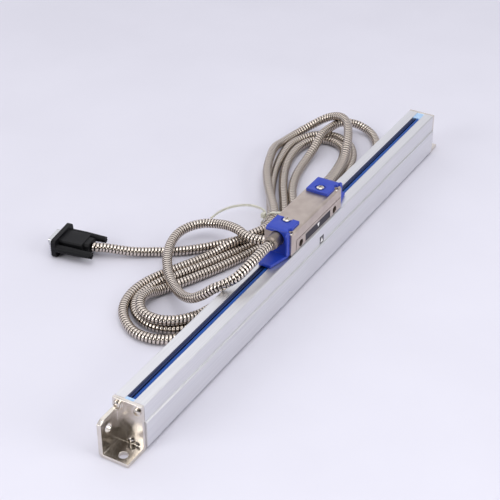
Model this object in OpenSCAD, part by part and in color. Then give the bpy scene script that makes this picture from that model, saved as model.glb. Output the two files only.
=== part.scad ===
// Linear glass scale: a slotted aluminium housing with a glass measuring strip inside, a reading
// head that slides along it on a thin blade, and an armoured cable that ends in a nine-way plug.
// X runs along the housing, +Y to its back, Z up. The origin is the middle of the footprint, on
// the surface that the end brackets stand on.

/* [Housing] */
// Length of the extruded housing
rail_len = 452; // [400:1:520]
// Height of the housing
rail_h = 35; // [33:0.5:40]
// Width of the housing above its ledge
rail_w = 23; // [22:0.5:28]
// How far the lower part stands out on each side
ledge_out = 1.2; // [0.6:0.1:2]
// Height of the ledge above the housing's underside
ledge_h = 21.3; // [19:0.1:24]
// Height of the bevel line on the lower part
bevel_h = 11.6; // [8:0.1:14]
// How far the lower part leans in below its bevel line
bevel_in = 0.4; // [0.2:0.1:0.6]
// Thickness of the side walls
side_t = 3; // [2.6:0.1:3.4]
// Thickness of the wall beside the slot
roof_t = 3.6; // [3.2:0.1:4.2]
// Thickness of the bottom wall
floor_t = 3.4; // [3:0.1:4]
// Width of the slot that the blade runs in
slot_w = 6.8; // [6:0.1:7.4]
// Bevel along the outer edges
edge_bevel = 0.6; // [0.3:0.1:0.9]

/* [Seals and glass] */
// Gap between the two sealing lips
lip_gap = 1.2; // [1:0.1:1.6]
// Thickness of each sealing lip
lip_t = 0.7; // [0.5:0.1:0.9]
// Rise of the ridge that the lips form
lip_rise = 1.6; // [1.2:0.1:1.8]
// Width of the foot that holds a lip in the slot's wall
lip_foot = 1.3; // [1:0.1:1.6]
// Length of the slot plug at the cable end
near_plug_len = 2.6; // [2:0.1:6]
// Length of the slot plug at the other end
far_plug_len = 10; // [6:0.5:14]
// Thickness of the glass strip
glass_t = 1.8; // [1.5:0.1:2.2]
// Height of the glass strip
glass_h = 15; // [13:0.5:16]
// Distance from the middle plane to the glass
glass_y = 3; // [2.8:0.1:3.2]
// Depth of the groove that holds the glass
glass_groove = 3; // [2:0.1:3.6]
// Thickness of the bedding strip under the glass
bed_t = 1; // [0.8:0.1:1.4]
// Free space between the glass and each end of the housing
glass_end = 9; // [7:1:16]

/* [End brackets] */
// Length of the bracket at the cable end
near_len = 21; // [20:0.5:30]
// Length of the bracket at the other end
far_len = 13; // [12.5:0.5:24]
// Thickness of the plate against the housing
plate_t = 2.8; // [2.5:0.1:3.5]
// Thickness of the foot under the bracket
foot_t = 2.8; // [2.5:0.1:3.4]
// Thickness of the upright ear
ear_t = 3.3; // [2.8:0.1:3.8]
// Height of the ear
ear_h = 28.8; // [27:0.1:30]
// How far the housing hangs above the standing surface
rail_lift = 1.8; // [1:0.1:2.2]
// Diameter of the mounting holes
mount_d = 6.5; // [5:0.1:7]
// Height of the hole in the ear
ear_hole_z = 19.5; // [16:0.5:21]
// Distance of the ear's hole from the housing
ear_hole_x = 13; // [11:0.5:14]
// Distance of the foot's hole from the housing
foot_hole_x = 14.5; // [12:0.5:15]
// Radius of the bracket's outer corner
bracket_r = 3; // [2:0.5:4]
// Thread diameter of the end screws
end_screw_d = 3; // [2.5:0.1:3]
// Distance of the upper end screws from the middle plane
end_screw_y = 8; // [7.8:0.1:8.2]
// Depth of the upper end screws below the housing's top
end_screw_drop = 4.6; // [4.2:0.1:5]

/* [Reading head] */
// Place of the head's centre along the housing
head_x = 11.4; // [-60:0.1:60]
// Length of the head
head_len = 80; // [76:1:100]
// Depth of the head from front to back
head_w = 23; // [21:0.5:26]
// Height of the head
head_h = 19; // [17:0.5:24]
// Running gap between the head and the housing
head_gap = 1.5; // [1:0.1:2]
// Bevel on the head's upper front edge
head_bevel = 1.5; // [0.5:0.1:2]
// Diameter of the holes through the head
head_hole_d = 6; // [5:0.1:6.5]
// Distance between the holes through the head
head_hole_pitch = 54; // [50:0.5:58]
// Height of those holes above the head's underside
head_hole_z = 3.9; // [3.6:0.1:4.6]
// Height of the joint line between the head's two halves
split_z = 9.5; // [8.5:0.1:10.5]
// Length of the label plate
label_len = 40; // [30:1:44]
// Height of the label plate
label_h = 6.6; // [5:0.1:7]
// Depth of the label's recess
label_t = 0.5; // [0.3:0.1:0.8]
// Thickness of the blade
blade_t = 0.8; // [0.6:0.1:0.9]
// Length of the blade
blade_len = 40; // [30:1:56]

/* [Carriage] */
// Length of the scanning carriage
carriage_len = 60; // [56:1:70]
// Running gap between the carriage's parts and the glass
scan_gap = 0.6; // [0.4:0.1:0.8]
// Outer diameter of the guide rollers
roller_d = 5; // [4.4:0.1:5.4]
// Width of the guide rollers
roller_w = 2; // [1.5:0.1:2.2]
// Diameter of the roller pins
roller_pin_d = 1.6; // [1.4:0.1:1.8]
// Running gap between a roller and the glass
roller_gap = 0.1; // [0.08:0.01:0.15]
// Radial clearance of a roller on its pin
pin_play = 0.05; // [0.03:0.01:0.08]
// Distance of the rollers' axes from the carriage's ends
roller_inset = 5; // [4:0.5:6]

/* [Shipping brackets] */
// Thickness of the bent plastic
ship_t = 2.5; // [2:0.1:3]
// Width of the top tab
ship_w = 18.5; // [16:0.5:20]
// Length of the top tab at the cable end
ship_tab_near = 16; // [15:0.5:20]
// Length of the top tab at the other end
ship_tab_far = 19.4; // [18:0.1:22]
// Length of the foot over the housing
ship_foot = 20; // [16:0.5:26]
// Thickness of the web beside the head
ship_web = 2; // [1.6:0.1:2.4]
// Gap between the foot and the housing
ship_gap = 0.4; // [0.3:0.1:0.8]
// Distance of the bracket screws from the head's ends
ship_screw_x = 13.4; // [12:0.1:14]

/* [Cable and plug] */
// Diameter of the armoured cable
cable_d = 7.5; // [6:0.1:7.5]
// Height of the cable gland above the head's underside
gland_z = 13.7; // [12:0.1:14]
// Length of the gland
gland_len = 13.4; // [13.4:0.1:13.4]
// Diameter of the gland's nut
gland_d = 11; // [9.5:0.1:11.4]
// Width of the plug's front plate
plug_w = 30.8; // [30.8:0.1:33]
// Height of the plug's metal flange
plug_h = 12.5; // [12:0.1:13.5]
// Distance between the plug's jackscrews
jack_pitch = 25; // [24.8:0.1:25.2]
// Height of the hood's front plate
hood_h = 15.6; // [14.5:0.1:17]
// Length of the plug's hood
hood_len = 28.5; // [27:0.5:34]
// Height of the hood's body
body_h = 10.8; // [10.2:0.1:12]
// Thickness of the hood's front plate
front_t = 4; // [3.5:0.1:5]
// Wall of the plug's hood
hood_t = 1.6; // [1.2:0.1:2]
// Length of the jackscrews' knobs
knob_len = 17; // [12:0.5:18]

/* [Hidden] */
$fn = 48;
slop = 0.02;
thin = 0.1;

// Housing: derived places
near_end = -(near_len + rail_len + far_len) / 2;
far_end = -near_end;
rail_x0 = near_end + near_len;
rail_x1 = far_end - far_len;
rail_top = rail_lift + rail_h;
ledge_z = rail_lift + ledge_h;
bevel_z = rail_lift + bevel_h;
base_w = rail_w + 2 * ledge_out;
cave_w = rail_w - 2 * side_t;
cave_z0 = rail_lift + floor_t;
cave_z1 = rail_top - roof_t;
port_r = 2.9;
port_d = end_screw_d + 2 * slop;
end_screw_z = rail_top - end_screw_drop;
low_screw_y = -1.5;
low_screw_z = foot_t + 2.9;
drain_y = -6.5;
drain_z = foot_t + 1.8;
drain_d = 3;

// Seals and glass: derived places
lip_z = rail_top - 2.2;
lip_foot_h = 1.2;
groove_y1 = slot_w / 2 + lip_foot;
glass_y1 = glass_y + glass_t;
groove_wall = 1.2;
glass_z0 = cave_z0 + bed_t;
glass_z1 = glass_z0 + glass_h;
groove_play = 0.05;

// Reading head: derived places
head_z0 = rail_top + head_gap;
head_z1 = head_z0 + head_h;
head_x0 = head_x - head_len / 2;
head_x1 = head_x + head_len / 2;
head_hole_x = head_x + 2;
head_y0 = -head_w / 2;
joint_z = head_z0 + split_z;
joint_wall = 4.4;
joint_x = head_hole_x - head_hole_pitch / 2 - head_hole_d / 2 - joint_wall;
joint_line = 0.4;
bottom_t = 0.6;
label_x = head_x + 2;
label_z = head_z0 + bottom_t + 0.4 + label_h / 2;
corner_screw_y = head_y0 + 1.9;
corner_screw_near = head_x0 + 2.2;
corner_screw_far = head_x1 - 5.2;
corner_screw_d = 3.2;

// Carriage: derived places
beam_z0 = glass_z1 + 0.9;
beam_z1 = end_screw_z - port_r - 0.5;
beam_y1 = glass_y + glass_t / 2 - roller_w / 2 - 0.5;
roller_r = roller_d / 2;
roller_pitch = carriage_len - 2 * roller_inset;
edge_roller_z = glass_z1 + roller_gap + roller_r;
face_roller_y = glass_y - roller_gap - roller_r;
block_y0 = -cave_w / 2 + 1.7;
block_y1 = glass_y - scan_gap - 1.2;
block_z0 = cave_z0 + 4.4;
lamp_y0 = glass_y1 + scan_gap;
lamp_y1 = cave_w / 2 - 0.5;
block_len = roller_pitch - roller_d - 6;
pin_head = 0.5;
edge_pin_sunk = 1;
face_pin_sunk = 2.5;
edge_roller_y = glass_y + glass_t / 2;
face_roller_z = cave_z0 + 10;

// Shipping brackets: derived places
ship_z1 = head_z1 + ship_t;
ship_foot_z = rail_top + ship_gap;
ship_corner = 2.4;
ship_seat = 1;
ship_seat_d = 8.4;

// Cable and plug: derived places
cable_r = cable_d / 2;
core_r = cable_r - 0.9;
gland_y = 0;
gland_h = head_z0 + gland_z;
gland_tip = head_x0 - gland_len;
cord_sides = 10;
plug_x = -54;
plug_y = 153;
plug_turn = 9;
plug_z = hood_h / 2;
face_t = 1;
shell_len = 5;
shell_w = 16.9;
shell_h = 8.4;
barrel_r = 3.2;
barrel_y0 = 11;
body_w = jack_pitch - 2 * barrel_r - 0.6;
neck_w = 13;
neck_len = 4.5;
knob_r = 3.2;
knob_end_r = 2.5;
shank_r = 1.5;
contact_pitch = 2.77;
contact_rows = 2.84;

// First loop of the cable, from the gland over the back of the housing into the bundle
loop_route = [
    [-42, 0, 52], [-56, 0, 52], [-69, 1, 50], [-80, 4, 46], [-88, 10, 42], [-92, 17, 38],
    [-94, 25, 31], [-92, 36, 23], [-85, 49, 17], [-73, 64, 13], [-59, 78, 12], [-42, 90, 12],
    [-25, 98, 12], [-9, 101, 12], [4, 98, 12], [12, 90, 13], [14, 79, 15], [12, 67, 18],
    [8, 56, 20], [4, 47, 20], [3, 39, 20], [5, 31, 20]
];
// Last stretch of the cable, from the bundle to the plug
tail_route = [
    [8, 67, 4], [-8, 80, 4], [-21, 94, 4], [-32, 111, 4], [-40.5, 123.5, 5], [-46, 134, 6.5],
    [-50.5, 144, 7.6], [-53.3, 149, 7.8], [plug_x, plug_y, plug_z]
];
// Middle line of the turn that lies on top in the left lobe, and of the highest turn
left_turn = [
    [-86, 78], [-99, 76], [-110, 68], [-114, 56], [-111, 44], [-102, 34], [-89, 27], [-70, 24], [60, 26]
];
top_turn = [
    [5, 31], [11, 25], [20, 23], [44, 22.5], [76, 24], [118, 33], [158, 39], [192, 52], [207, 61],
    [216, 72], [218, 85], [210, 97]
];
hank_layer = 8;
hank_z0 = 0.25;
tie_x = 48;
tie_w = 2.6;
tie_t = 1.2;

// ---- Shared shapes ----------------------------------------------------------------------------

// Extrudes a Y-Z outline along X from x0 to x1.
module along_x(x0, x1) {
    translate([x0, 0, 0])
        rotate([90, 0, 90])
            linear_extrude(x1 - x0)
                children();
}

// Extrudes an X-Z outline along Y from y0 to y1.
module along_y(y0, y1) {
    translate([0, y1, 0])
        rotate([90, 0, 0])
            linear_extrude(y1 - y0)
                children();
}

// A block between two corners.
module block(low, high) {
    translate(low)
        cube(high - low);
}

// Pan-head cross-recess screw: head above z = 0, shank below.
module pan_screw(d, head_d, head_h, shank) {
    dome_r = (head_d * head_d / 4 + head_h * head_h) / (2 * head_h);
    arm = head_d * 0.5;
    arm_w = head_d * 0.15;
    difference() {
        union() {
            intersection() {
                cylinder(d = head_d, h = head_h);
                translate([0, 0, head_h - dome_r * 1.25])
                    sphere(r = dome_r * 1.25);
            }
            translate([0, 0, -shank])
                cylinder(d = d, h = shank + thin);
        }
        for (turn = [0, 90])
            rotate(turn)
                translate([-arm / 2, -arm_w / 2, head_h * 0.45])
                    cube([arm, arm_w, head_h]);
    }
}

// One unit vector, and the tangent of a route at one of its points.
function unit(v) = v / norm(v);
function tangent(route, i) =
    unit(route[min(i + 1, len(route) - 1)] - route[max(i - 1, 0)]);

// A ring of points round a route point, square to the route.
function ring(route, i, r) =
    let (
        ahead = tangent(route, i),
        side = unit(cross(ahead, [0, 0, 1])),
        up = cross(side, ahead)
    )
    [for (k = [0:cord_sides - 1])
        route[i] + r * (cos(360 * k / cord_sides) * side + sin(360 * k / cord_sides) * up)];

// A round cord swept along a route.
module cord(route, r) {
    rings = len(route);
    points = [for (i = [0:rings - 1]) each ring(route, i, r)];
    sides = [for (i = [0:rings - 2], k = [0:cord_sides - 1])
        let (a = i * cord_sides, n = (k + 1) % cord_sides)
        [a + k, a + n, a + n + cord_sides, a + k + cord_sides]];
    first = [for (k = [cord_sides - 1:-1:0]) k];
    last = [for (k = [0:cord_sides - 1]) (rings - 1) * cord_sides + k];
    polyhedron(points, concat([first], sides, [last]));
}

// A flat band that follows a chain of points.
module band(points, r, z0, z1) {
    translate([0, 0, z0])
        linear_extrude(z1 - z0)
            for (i = [0:len(points) - 2])
                hull() {
                    translate(points[i])
                        circle(r, $fn = 16);
                    translate(points[i + 1])
                        circle(r, $fn = 16);
                }
}

// ---- Housing ----------------------------------------------------------------------------------

// Outer outline, with a bevelled base, a ledge and bevelled top edges.
module rail_outline() {
    w = rail_w / 2;
    b = base_w / 2;
    e = edge_bevel;
    right = [
        [b - bevel_in - e, rail_lift], [b - bevel_in, rail_lift + e], [b, bevel_z],
        [b, ledge_z - ledge_out / 2], [b - ledge_out / 2, ledge_z], [w, ledge_z],
        [w, rail_top - e], [w - e, rail_top]
    ];
    left = [for (i = [len(right) - 1:-1:0]) [-right[i][0], right[i][1]]];
    polygon(concat(right, left));
}

// The hollow, with solid corners for the end screws and ribs that hold the glass.
module rail_hollow() {
    difference() {
        translate([-cave_w / 2, cave_z0])
            square([cave_w, cave_z1 - cave_z0]);
        for (side = [-1, 1])
            translate([side * end_screw_y, end_screw_z])
                circle(port_r);
        translate([low_screw_y, low_screw_z])
            circle(port_r);
        translate([glass_y - groove_wall, cave_z0])
            square([glass_t + 2 * groove_wall, glass_groove + bed_t]);
    }
    translate([glass_y - groove_play, cave_z0])
        square([glass_t + 2 * groove_play, glass_h]);
}

// The slot, with a groove in each wall for the foot of a sealing lip.
module rail_slot() {
    translate([-slot_w / 2, cave_z1 - thin])
        square([slot_w, roof_t + 1]);
    translate([-groove_y1, lip_z - lip_foot_h])
        square([2 * groove_y1, lip_foot_h]);
}

module housing() {
    color("#c9cad0")
        along_x(rail_x0, rail_x1)
            difference() {
                rail_outline();
                rail_hollow();
                rail_slot();
                for (side = [-1, 1])
                    translate([side * end_screw_y, end_screw_z])
                        circle(d = port_d);
                translate([low_screw_y, low_screw_z])
                    circle(d = port_d);
            }
}

// Outline of the lip on the +Y side: a foot in the wall and a blade that rises to the middle.
module lip_outline() {
    foot_z0 = lip_z - lip_foot_h;
    polygon([
        [groove_y1, foot_z0], [groove_y1, lip_z], [slot_w / 2 - 0.3, lip_z],
        [lip_gap / 2, lip_z + lip_rise], [lip_gap / 2, lip_z + lip_rise - lip_t],
        [slot_w / 2 - 1.2, foot_z0]
    ]);
}

module seal_lip_back() {
    color("#173c86")
        along_x(rail_x0 + near_plug_len, rail_x1 - far_plug_len)
            lip_outline();
}

module seal_lip_front() {
    color("#1d58a4")
        along_x(rail_x0 + near_plug_len, rail_x1 - far_plug_len)
            mirror([1, 0])
                lip_outline();
}

// A plug that fills the slot's end, with the outline of the slot and its grooves.
module slot_plug(x0, x1) {
    color("#c3dcf0")
        along_x(x0, x1) {
            translate([-groove_y1, lip_z - lip_foot_h])
                square([2 * groove_y1, lip_foot_h]);
            translate([-slot_w / 2, cave_z1])
                square([slot_w, roof_t - 0.3]);
        }
}

module slot_plug_near() {
    slot_plug(rail_x0, rail_x0 + near_plug_len);
}

module slot_plug_far() {
    slot_plug(rail_x1 - far_plug_len, rail_x1);
}

// ---- Glass ------------------------------------------------------------------------------------

module glass_strip() {
    color("#bfe3dc", 0.5)
        block([rail_x0 + glass_end, glass_y, glass_z0], [rail_x1 - glass_end, glass_y1, glass_z1]);
}

module glass_bed() {
    color("#3a3a3c")
        block([rail_x0 + glass_end, glass_y, cave_z0], [rail_x1 - glass_end, glass_y1, glass_z0]);
}

// ---- End brackets -----------------------------------------------------------------------------

// Holes in the plate for the end screws and the drain, along X.
module plate_holes(x0, x1) {
    clearance_d = end_screw_d + 0.4;
    along_x(x0 - 1, x1 + 1) {
        for (side = [-1, 1])
            translate([side * end_screw_y, end_screw_z])
                circle(d = clearance_d);
        translate([low_screw_y, low_screw_z])
            circle(d = clearance_d);
        translate([drain_y, drain_z])
            circle(d = drain_d);
    }
}

// Side outline of the ear: level at the outer end, rising to the plate.
module ear_outline(outer, inner) {
    polygon([
        [outer, 0], [inner, 0], [inner, ear_h + 1.4], [inner - plate_t - 1, ear_h + 0.9],
        [outer + 4, ear_h], [outer, ear_h - 2]
    ]);
}

// Bracket at the cable end: a plate, a foot and an ear round an open corner.
module end_bracket_near() {
    x0 = rail_x0 - near_len;
    xp = rail_x0 - plate_t;
    y0 = -rail_w / 2;
    y1 = rail_w / 2;
    web_r = 4.4;
    web_t = 1.1;
    color("#c8bfae")
        difference() {
            union() {
                block([xp, y0, 0], [rail_x0, y1, rail_top]);
                intersection() {
                    union() {
                        block([x0, y0, 0], [rail_x0, y1, foot_t]);
                        along_y(y1 - ear_t, y1)
                            ear_outline(x0, rail_x0);
                        // Thin curved wall round the upper rear screw
                        difference() {
                            along_x(x0 + 11, rail_x0)
                                translate([end_screw_y, end_screw_z])
                                    circle(web_r);
                            along_x(x0 + 10, xp)
                                translate([end_screw_y, end_screw_z])
                                    circle(web_r - web_t);
                            block([x0, y1 - ear_t, ear_h + 1], [xp, y1 + 2, rail_top + 2]);
                            translate([xp, 0, rail_top])
                                rotate([0, 40, 0])
                                    translate([-30, -20, 0])
                                        cube([30, 40, 30]);
                        }
                    }
                    // Rounded corner between the foot and the ear
                    along_x(x0 - 1, rail_x0 + 1)
                        difference() {
                            translate([y0, 0])
                                square([rail_w, rail_top + 1]);
                            translate([y1 - bracket_r, 0])
                                difference() {
                                    square([bracket_r + 1, bracket_r]);
                                    translate([0, bracket_r])
                                        circle(bracket_r);
                                }
                        }
                }
            }
            plate_holes(xp, rail_x0);
            along_x(x0 - 1, xp)
                translate([end_screw_y, end_screw_z])
                    circle(web_r - web_t);
            translate([rail_x0 - ear_hole_x, y1 - ear_t - 1, ear_hole_z])
                rotate([-90, 0, 0])
                    cylinder(d = mount_d, h = ear_t + 2);
            translate([rail_x0 - foot_hole_x, -3.4, -1])
                cylinder(d = mount_d, h = foot_t + 2);
        }
}

// Bracket at the other end: the same plate with a short foot and a low ear.
module end_bracket_far() {
    xp = rail_x1 + plate_t;
    y0 = -rail_w / 2;
    y1 = rail_w / 2;
    hole_x = (xp + far_end) / 2;
    hole_d = min(mount_d, far_len - plate_t - 3);
    color("#c8bfae")
        difference() {
            union() {
                block([rail_x1, y0, 0], [xp, y1, rail_top]);
                block([rail_x1, y0, 0], [far_end, y1, foot_t]);
                along_y(y1 - ear_t, y1)
                    polygon([
                        [rail_x1, 0], [far_end, 0], [far_end, ear_hole_z - 6], [xp + 4, ear_hole_z],
                        [xp, ear_hole_z + 2], [rail_x1, ear_hole_z + 2]
                    ]);
            }
            plate_holes(rail_x1, xp);
            translate([hole_x, -3.4, -1])
                cylinder(d = hole_d, h = foot_t + 2);
        }
}

// The three screws of one end, heads outward.
module end_screws(x, outward) {
    places = [
        [end_screw_y, end_screw_z], [-end_screw_y, end_screw_z], [low_screw_y, low_screw_z]
    ];
    color("#d9d9dc")
        for (p = places)
            translate([x, p[0], p[1]])
                rotate([0, 90 * outward, 0])
                    pan_screw(end_screw_d, 5.4, 1.9, plate_t + 8);
}

module end_screws_near() {
    end_screws(rail_x0 - plate_t, -1);
}

module end_screws_far() {
    end_screws(rail_x1 + plate_t, 1);
}

// ---- Reading head -----------------------------------------------------------------------------

// Outline of the head, front to back, with a bevelled front edge.
module head_outline() {
    y1 = head_w / 2;
    polygon([
        [head_y0, head_z0], [y1, head_z0], [y1, head_z1 - 0.8], [y1 - 0.8, head_z1],
        [head_y0 + head_bevel, head_z1], [head_y0, head_z1 - head_bevel]
    ]);
}

// The holes through the head, front to back.
module head_holes() {
    for (side = [-1, 1])
        translate([head_hole_x + side * head_hole_pitch / 2, head_y0 - 1, head_z0 + head_hole_z])
            rotate([-90, 0, 0])
                cylinder(d = head_hole_d, h = head_w + 2);
}

// Upper half with the end wall that carries the gland.
module head_body() {
    color("#b9b1a5")
        difference() {
            along_x(head_x0, head_x1)
                head_outline();
            block([joint_x, head_y0 - 1, head_z0 - 1], [head_x1 + 1, head_w, joint_z + joint_line]);
            block([head_x0 - 1, head_y0 - 1, head_z0 - 1], [head_x1, head_w, head_z0 + bottom_t]);
            translate([head_x0 - 1, gland_y, gland_h])
                rotate([0, 90, 0])
                    cylinder(r = core_r, h = 6);
            for (x = [head_x0 + ship_screw_x, head_x1 - ship_screw_x])
                translate([x, 0, head_z1 - 6])
                    cylinder(d = 3 + 2 * slop, h = 7);
            for (x = [corner_screw_near, corner_screw_far])
                translate([x, corner_screw_y, head_z1 - 4]) {
                    cylinder(d = 1.6 + 2 * slop, h = 5);
                    // Flat seat for the screw's head in the bevelled edge
                    translate([0, 0, 4 - head_bevel])
                        cylinder(d = corner_screw_d + 0.4, h = head_bevel + 1);
                }
        }
}

// Lower half, with the through holes, the label recess and a shadow line under the upper half.
module head_base() {
    color("#b3aba0")
        difference() {
            union() {
                block([joint_x + joint_line, head_y0, head_z0 + bottom_t],
                      [head_x1, head_w / 2, joint_z]);
                block([joint_x + joint_line, head_y0 + 1, joint_z - thin],
                      [head_x1 - 1, head_w / 2 - 1, joint_z + joint_line]);
            }
            head_holes();
            block([label_x - label_len / 2, head_y0 - 1, label_z - label_h / 2],
                  [label_x + label_len / 2, head_y0 + label_t, label_z + label_h / 2]);
        }
}

// Thin cover under the head, with a slot for the blade.
module head_bottom() {
    color("#8d8a86")
        difference() {
            block([head_x0, head_y0, head_z0], [head_x1, head_w / 2, head_z0 + bottom_t]);
            block([head_x - blade_len / 2, -blade_t / 2, head_z0 - 1],
                  [head_x + blade_len / 2, blade_t / 2, head_z0 + bottom_t + 1]);
            head_holes();
        }
}

module head_label() {
    color("#3d3a3b")
        block([label_x - label_len / 2, head_y0 + thin, label_z - label_h / 2],
              [label_x + label_len / 2, head_y0 + label_t, label_z + label_h / 2]);
}

// Two small screws at the head's upper front corners.
module head_corner_screws() {
    color("#e3ddca")
        for (x = [corner_screw_near, corner_screw_far])
            translate([x, corner_screw_y, head_z1 - head_bevel])
                pan_screw(1.6, corner_screw_d, head_bevel + 0.5, 2);
}

// Blade that hangs from the head through the slot to the carriage, with tapered ends.
module blade() {
    low = beam_z1;
    high = head_z0 + bottom_t;
    lead = 4;
    color("#9a9da3")
        translate([0, 0, low])
            linear_extrude(high - low)
                polygon([
                    [head_x - blade_len / 2, 0], [head_x - blade_len / 2 + lead, -blade_t / 2],
                    [head_x + blade_len / 2 - lead, -blade_t / 2], [head_x + blade_len / 2, 0],
                    [head_x + blade_len / 2 - lead, blade_t / 2],
                    [head_x - blade_len / 2 + lead, blade_t / 2]
                ]);
}

// ---- Scanning carriage ------------------------------------------------------------------------

// A beam over the glass, a block in front of it and a bridge that carries the lamp behind it.
module carriage() {
    bridge = block_len / 2 - 2;
    color("#55585e")
        difference() {
            union() {
                block([head_x - carriage_len / 2, block_y0, beam_z0],
                      [head_x + carriage_len / 2, beam_y1, beam_z1]);
                block([head_x - block_len / 2, block_y0, block_z0],
                      [head_x + block_len / 2, block_y1, beam_z1]);
                block([head_x - bridge, block_y0, beam_z0], [head_x + bridge, lamp_y1, beam_z1]);
            }
            for (side = [-1, 1]) {
                translate([head_x + side * roller_pitch / 2, beam_y1 - edge_pin_sunk, edge_roller_z])
                    rotate([-90, 0, 0])
                        cylinder(d = roller_pin_d + 2 * slop, h = edge_pin_sunk + 1);
                translate([head_x + side * roller_pitch / 2, face_roller_y, beam_z0 - 1])
                    cylinder(d = roller_pin_d + 2 * slop, h = face_pin_sunk + 1);
            }
        }
}

module sensor_board() {
    color("#1f6a3f")
        block([head_x - block_len / 2 + 2, block_y0 - 1.2, block_z0 + 1],
              [head_x + block_len / 2 - 2, block_y0, beam_z1 - 1]);
}

// Scanning window on the block's face, just clear of the glass.
module sensor_window() {
    color("#22252b")
        block([head_x - 12, block_y1, block_z0 + 2], [head_x + 12, glass_y - scan_gap, beam_z0 - 1]);
}

module lamp() {
    color("#d8d8d0")
        block([head_x - 11, lamp_y0, block_z0 + 3], [head_x + 11, lamp_y1, beam_z0]);
}

// A pin from z = 0 upwards: its sunk end, a spacer, the roller's seat and a retaining head.
module roller_pin(sunk, spacer) {
    seat = spacer + 2 * thin + roller_w;
    collar_d = roller_pin_d + 1;
    cylinder(d = roller_pin_d, h = sunk + seat);
    translate([0, 0, sunk])
        cylinder(d = collar_d, h = spacer);
    translate([0, 0, sunk + seat])
        cylinder(d = collar_d, h = pin_head);
}

// A guide roller with its bore, centred on the origin, axis along Z.
module roller() {
    color("#a9adb3")
        difference() {
            cylinder(r = roller_r, h = roller_w, center = true);
            cylinder(d = roller_pin_d + 2 * pin_play, h = roller_w + 1, center = true);
        }
}

module edge_roller(side) {
    translate([head_x + side * roller_pitch / 2, edge_roller_y, edge_roller_z])
        rotate([-90, 0, 0])
            roller();
}

module face_roller(side) {
    translate([head_x + side * roller_pitch / 2, face_roller_y, face_roller_z])
        roller();
}

module edge_roller_near() {
    edge_roller(-1);
}

module edge_roller_far() {
    edge_roller(1);
}

module face_roller_near() {
    face_roller(-1);
}

module face_roller_far() {
    face_roller(1);
}

module edge_roller_pins() {
    spacer = edge_roller_y - roller_w / 2 - thin - beam_y1;
    color("#c9ccd1")
        for (side = [-1, 1])
            translate([head_x + side * roller_pitch / 2, beam_y1 - edge_pin_sunk, edge_roller_z])
                rotate([-90, 0, 0])
                    roller_pin(edge_pin_sunk, spacer);
}

module face_roller_pins() {
    spacer = beam_z0 - (face_roller_z + roller_w / 2 + thin);
    color("#c9ccd1")
        for (side = [-1, 1])
            translate([head_x + side * roller_pitch / 2, face_roller_y, beam_z0 + face_pin_sunk])
                rotate([180, 0, 0])
                    roller_pin(face_pin_sunk, spacer);
}

// ---- Shipping brackets ------------------------------------------------------------------------

// Side outline with the head's end face at x = 0 and the foot towards -X.
module ship_outline(tab) {
    polygon([
        [-ship_web, ship_foot_z], [0, ship_foot_z], [0, head_z1], [tab, head_z1],
        [tab, ship_z1], [-ship_web + ship_corner, ship_z1],
        for (a = [100:20:160])
            [-ship_web + ship_corner + ship_corner * cos(a), ship_z1 - ship_corner + ship_corner * sin(a)],
        [-ship_web, ship_z1 - ship_corner]
    ]);
}

// Bent bracket: tab over the head, web beside it, tapered foot over the slot and a front rib.
// The screw's hole is a slot that opens at the tab's end where the tab is short.
module ship_bracket(tab, corner_x, gland_cut) {
    half = ship_w / 2;
    foot_half = 5;
    rib_t = 1.6;
    open_slot = tab < ship_screw_x + ship_seat_d / 2;
    color("#2640a0")
        difference() {
            union() {
                along_y(-half, half)
                    ship_outline(tab);
                translate([0, 0, ship_foot_z])
                    linear_extrude(ship_t)
                        polygon([
                            [0, -half], [0, half], [-ship_web, half], [-ship_foot, foot_half],
                            [-ship_foot, -foot_half], [-ship_web, -half]
                        ]);
                along_y(-half - rib_t / 2, -half + rib_t / 2)
                    polygon([
                        [0, ship_foot_z + 1.6], [0, ship_z1 - 1], [-ship_web - 1, ship_z1 - 1],
                        [-ship_web - 2.6, ship_z1 - 3], [-ship_web - 2.6, ship_foot_z + 4],
                        [-ship_web - 1, ship_foot_z + 1.6]
                    ]);
            }
            translate([ship_screw_x, 0, head_z1 - 1])
                cylinder(d = 3.4, h = ship_t + 2);
            translate([ship_screw_x, 0, ship_z1 - ship_seat])
                cylinder(d = ship_seat_d, h = 2);
            translate([corner_x, corner_screw_y, head_z1 - 1])
                cylinder(d = corner_screw_d + 1, h = ship_t + 2);
            if (open_slot)
                block([ship_screw_x, -1.7, head_z1 - 1], [tab + 1, 1.7, ship_z1 + 1]);
            if (gland_cut) {
                translate([-ship_foot, gland_y, gland_h])
                    rotate([0, 90, 0])
                        cylinder(d = gland_d + 1, h = ship_foot + 1);
                block([-ship_foot, gland_y, gland_h - gland_d / 2 - 0.5],
                      [0.1, half + 1, head_z1 - 0.6]);
            }
        }
}

module ship_bracket_near() {
    translate([head_x0, 0, 0])
        ship_bracket(ship_tab_near, corner_screw_near - head_x0, true);
}

module ship_bracket_far() {
    translate([head_x1, 0, 0])
        mirror([1, 0, 0])
            ship_bracket(ship_tab_far, head_x1 - corner_screw_far, false);
}

module ship_screw(x) {
    color("#e3e3e6")
        translate([x, 0, ship_z1 - ship_seat])
            pan_screw(3, 5.8, 2, 6.5);
}

module ship_screw_near() {
    ship_screw(head_x0 + ship_screw_x);
}

module ship_screw_far() {
    ship_screw(head_x1 - ship_screw_x);
}

// ---- Cable gland, cable and tie ---------------------------------------------------------------

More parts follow.
